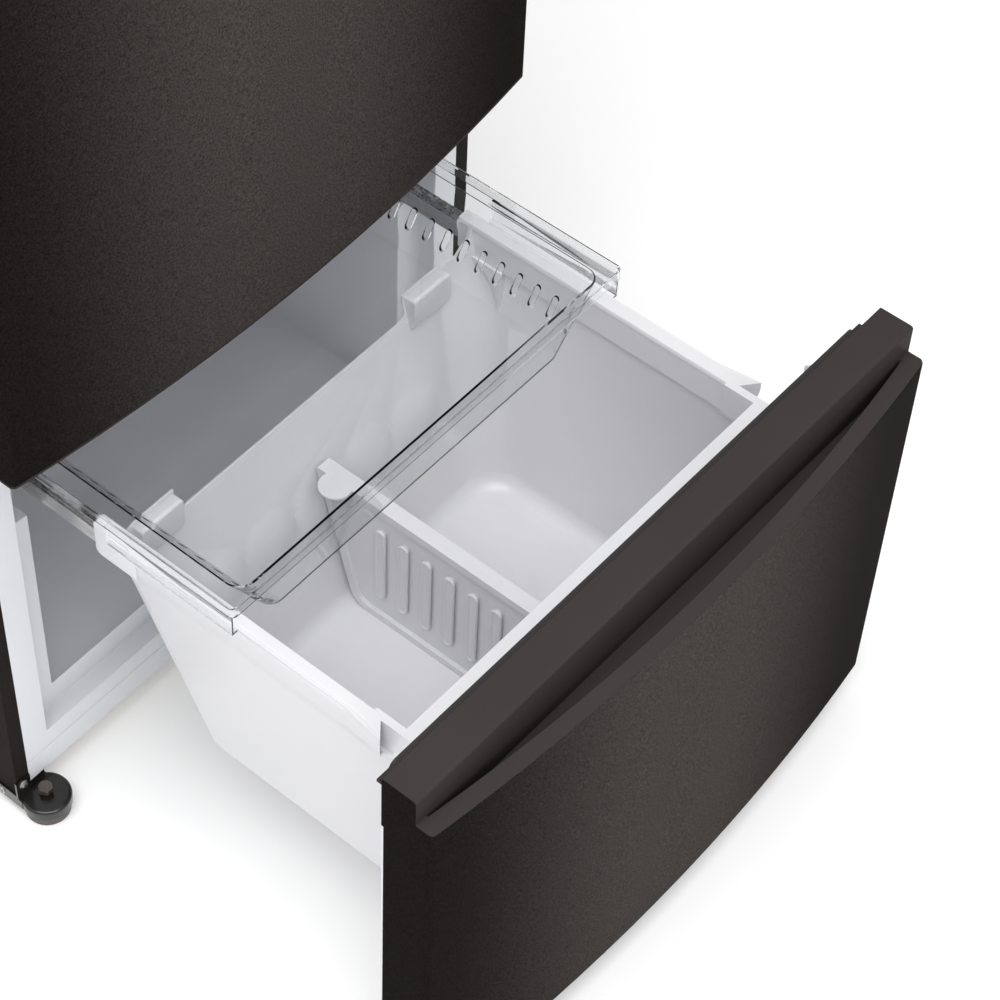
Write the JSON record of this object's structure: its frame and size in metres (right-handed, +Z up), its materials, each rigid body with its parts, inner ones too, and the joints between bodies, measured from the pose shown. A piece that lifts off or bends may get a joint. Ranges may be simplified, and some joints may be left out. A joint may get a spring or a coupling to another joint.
{
  "type": "bottom freezer refrigerator",
  "caption": "Bottom freezer refrigerator: bowed dark door above a pull-out freezer drawer with a white tub, a divider and a sliding clear tray.",
  "frame": {"origin": "on the floor under the middle of the case's plan outline", "axes": "+X to the right of someone facing the front, +Y towards the back wall, +Z up; the drawer rests pulled out towards -Y"},
  "size_m": [0.841, 1.4069, 1.769],
  "materials": {
    "front_sheet": "fine-grained dark brown-black enamel, satin",
    "cap_plastic": "smooth dark brown-grey plastic",
    "galvanised_steel": "zinc coated sheet",
    "foam": "rigid foam, hidden between the skins",
    "white_plastic": "white moulded plastic, soft sheen",
    "grey_liner": "pale cool-grey moulded liner",
    "bar_steel": "painted steel bar",
    "black_steel": "gloss black enamel",
    "black_plastic": "black moulded plastic",
    "black_rubber": "soft black gasket",
    "leg_steel": "dull plated steel",
    "fin_aluminium": "bare fins and tube",
    "clear_plastic": "clear moulded plastic, polished",
    "shelf_glass": "toughened clear glass"
  },
  "bodies": {
    "cabinet": {"case_wrapper": "front_sheet", "insulation_foam": "foam", "freezer_liner": "grey_liner", "fridge_liner": "white_plastic", "front_bar": "bar_steel", "base_rail": "grey_liner", "back_panel": "galvanised_steel", "base_pan": "galvanised_steel", "compressor": "black_steel", "compressor_mounts": "black_rubber", "condenser": "black_steel", "condenser_fan_mount": "black_plastic", "drip_pan": "black_plastic", "machine_cover": "galvanised_steel", "evaporator_cover": "white_plastic", "evaporator": "fin_aluminium", "evaporator_fan_mount": "black_plastic", "top_hinge": "black_steel", "top_hinge_cover": "cap_plastic", "middle_hinge": "black_steel", "shelf_frame_lower": "white_plastic", "shelf_glass_lower": "shelf_glass", "shelf_frame_upper": "white_plastic", "shelf_glass_upper": "shelf_glass", "crisper_frame": "white_plastic", "air_duct": "white_plastic", "lamp_cover": "clear_plastic", "control_panel": "black_plastic", "leg_brackets": "black_steel", "rail_tracks": "galvanised_steel"},
    "freezer_drawer": {"drawer_panel": "front_sheet", "drawer_cap": "cap_plastic", "drawer_liner": "white_plastic", "drawer_gasket": "black_rubber", "freezer_tub": "white_plastic", "drawer_rails": "galvanised_steel", "side_bracket_left": "white_plastic", "side_bracket_right": "white_plastic"},
    "rail_left": {"rail_middle_left": "galvanised_steel"},
    "rail_right": {"rail_middle_right": "galvanised_steel"},
    "divider": {"tub_divider": "white_plastic"},
    "tray": {"clear_tray": "clear_plastic"},
    "fridge_door": {"upper_door": "front_sheet", "door_end_caps": "cap_plastic", "door_liner": "white_plastic", "door_gasket": "black_rubber", "door_bin_lower": "clear_plastic", "door_bin_middle": "clear_plastic", "dairy_box": "clear_plastic"},
    "dairy_flap": {"dairy_lid": "clear_plastic"},
    "crisper_left": {"crisper_left": "clear_plastic"},
    "crisper_right": {"crisper_right": "clear_plastic"},
    "roller_left": {"rear_roller_left": "black_plastic"},
    "roller_right": {"rear_roller_right": "black_plastic"},
    "leg_left": {"levelling_leg_left": "leg_steel"},
    "leg_right": {"levelling_leg_right": "leg_steel"},
    "condenser_fan": {"condenser_fan": "black_plastic"},
    "evaporator_fan": {"evaporator_fan": "black_plastic"}
  },
  "joints": [
    {"name": "freezer_drawer_slide", "type": "slide", "parent": "cabinet", "child": "freezer_drawer", "axis": [0, 1, 0], "range_m": [0, 0.5745]},
    {"name": "rail_left_slide", "type": "slide", "parent": "cabinet", "child": "rail_left", "axis": [0, 1, 0], "range_m": [0, 0.28725]},
    {"name": "rail_right_slide", "type": "slide", "parent": "cabinet", "child": "rail_right", "axis": [0, 1, 0], "range_m": [0, 0.28725]},
    {"name": "tray_slide", "type": "slide", "parent": "cabinet", "child": "tray", "axis": [0, 1, 0], "range_m": [0, 0.375]},
    {"name": "divider_slide", "type": "slide", "parent": "freezer_drawer", "child": "divider", "axis": [1, 0, 0], "range_m": [-0.06, 0.06]},
    {"name": "fridge_door_hinge", "type": "hinge", "parent": "cabinet", "child": "fridge_door", "pos_m": [0.392, -0.409, 0.7], "axis": [0, 0, 1], "range_deg": [0, 125]},
    {"name": "dairy_flap_hinge", "type": "hinge", "parent": "fridge_door", "child": "dairy_flap", "pos_m": [0, -0.354, 1.536], "axis": [1, 0, 0], "range_deg": [0, 75]},
    {"name": "crisper_left_slide", "type": "slide", "parent": "cabinet", "child": "crisper_left", "axis": [0, -1, 0], "range_m": [0, 0.045]},
    {"name": "crisper_right_slide", "type": "slide", "parent": "cabinet", "child": "crisper_right", "axis": [0, -1, 0], "range_m": [0, 0.045]},
    {"name": "roller_left_spin", "type": "hinge", "parent": "cabinet", "child": "roller_left", "pos_m": [-0.35, 0.305, 0.021], "axis": [1, 0, 0], "continuous": true},
    {"name": "roller_right_spin", "type": "hinge", "parent": "cabinet", "child": "roller_right", "pos_m": [0.35, 0.305, 0.021], "axis": [1, 0, 0], "continuous": true},
    {"name": "leg_left_turn", "type": "hinge", "parent": "cabinet", "child": "leg_left", "pos_m": [-0.3885, -0.3814, 0], "axis": [0, 0, 1], "continuous": true},
    {"name": "leg_right_turn", "type": "hinge", "parent": "cabinet", "child": "leg_right", "pos_m": [0.3885, -0.3814, 0], "axis": [0, 0, 1], "continuous": true},
    {"name": "condenser_fan_spin", "type": "hinge", "parent": "cabinet", "child": "condenser_fan", "pos_m": [0, 0.25, 0.165], "axis": [1, 0, 0], "continuous": true},
    {"name": "evaporator_fan_spin", "type": "hinge", "parent": "cabinet", "child": "evaporator_fan", "pos_m": [0, 0.205, 0.545], "axis": [0, 1, 0], "continuous": true}
  ],
  "couplings": [
    {"joint": "rail_left_slide", "follows": "freezer_drawer_slide", "ratio": 0.5},
    {"joint": "rail_right_slide", "follows": "freezer_drawer_slide", "ratio": 0.5},
    {"joint": "tray_slide", "follows": "freezer_drawer_slide", "ratio": 0.65274}
  ]
}
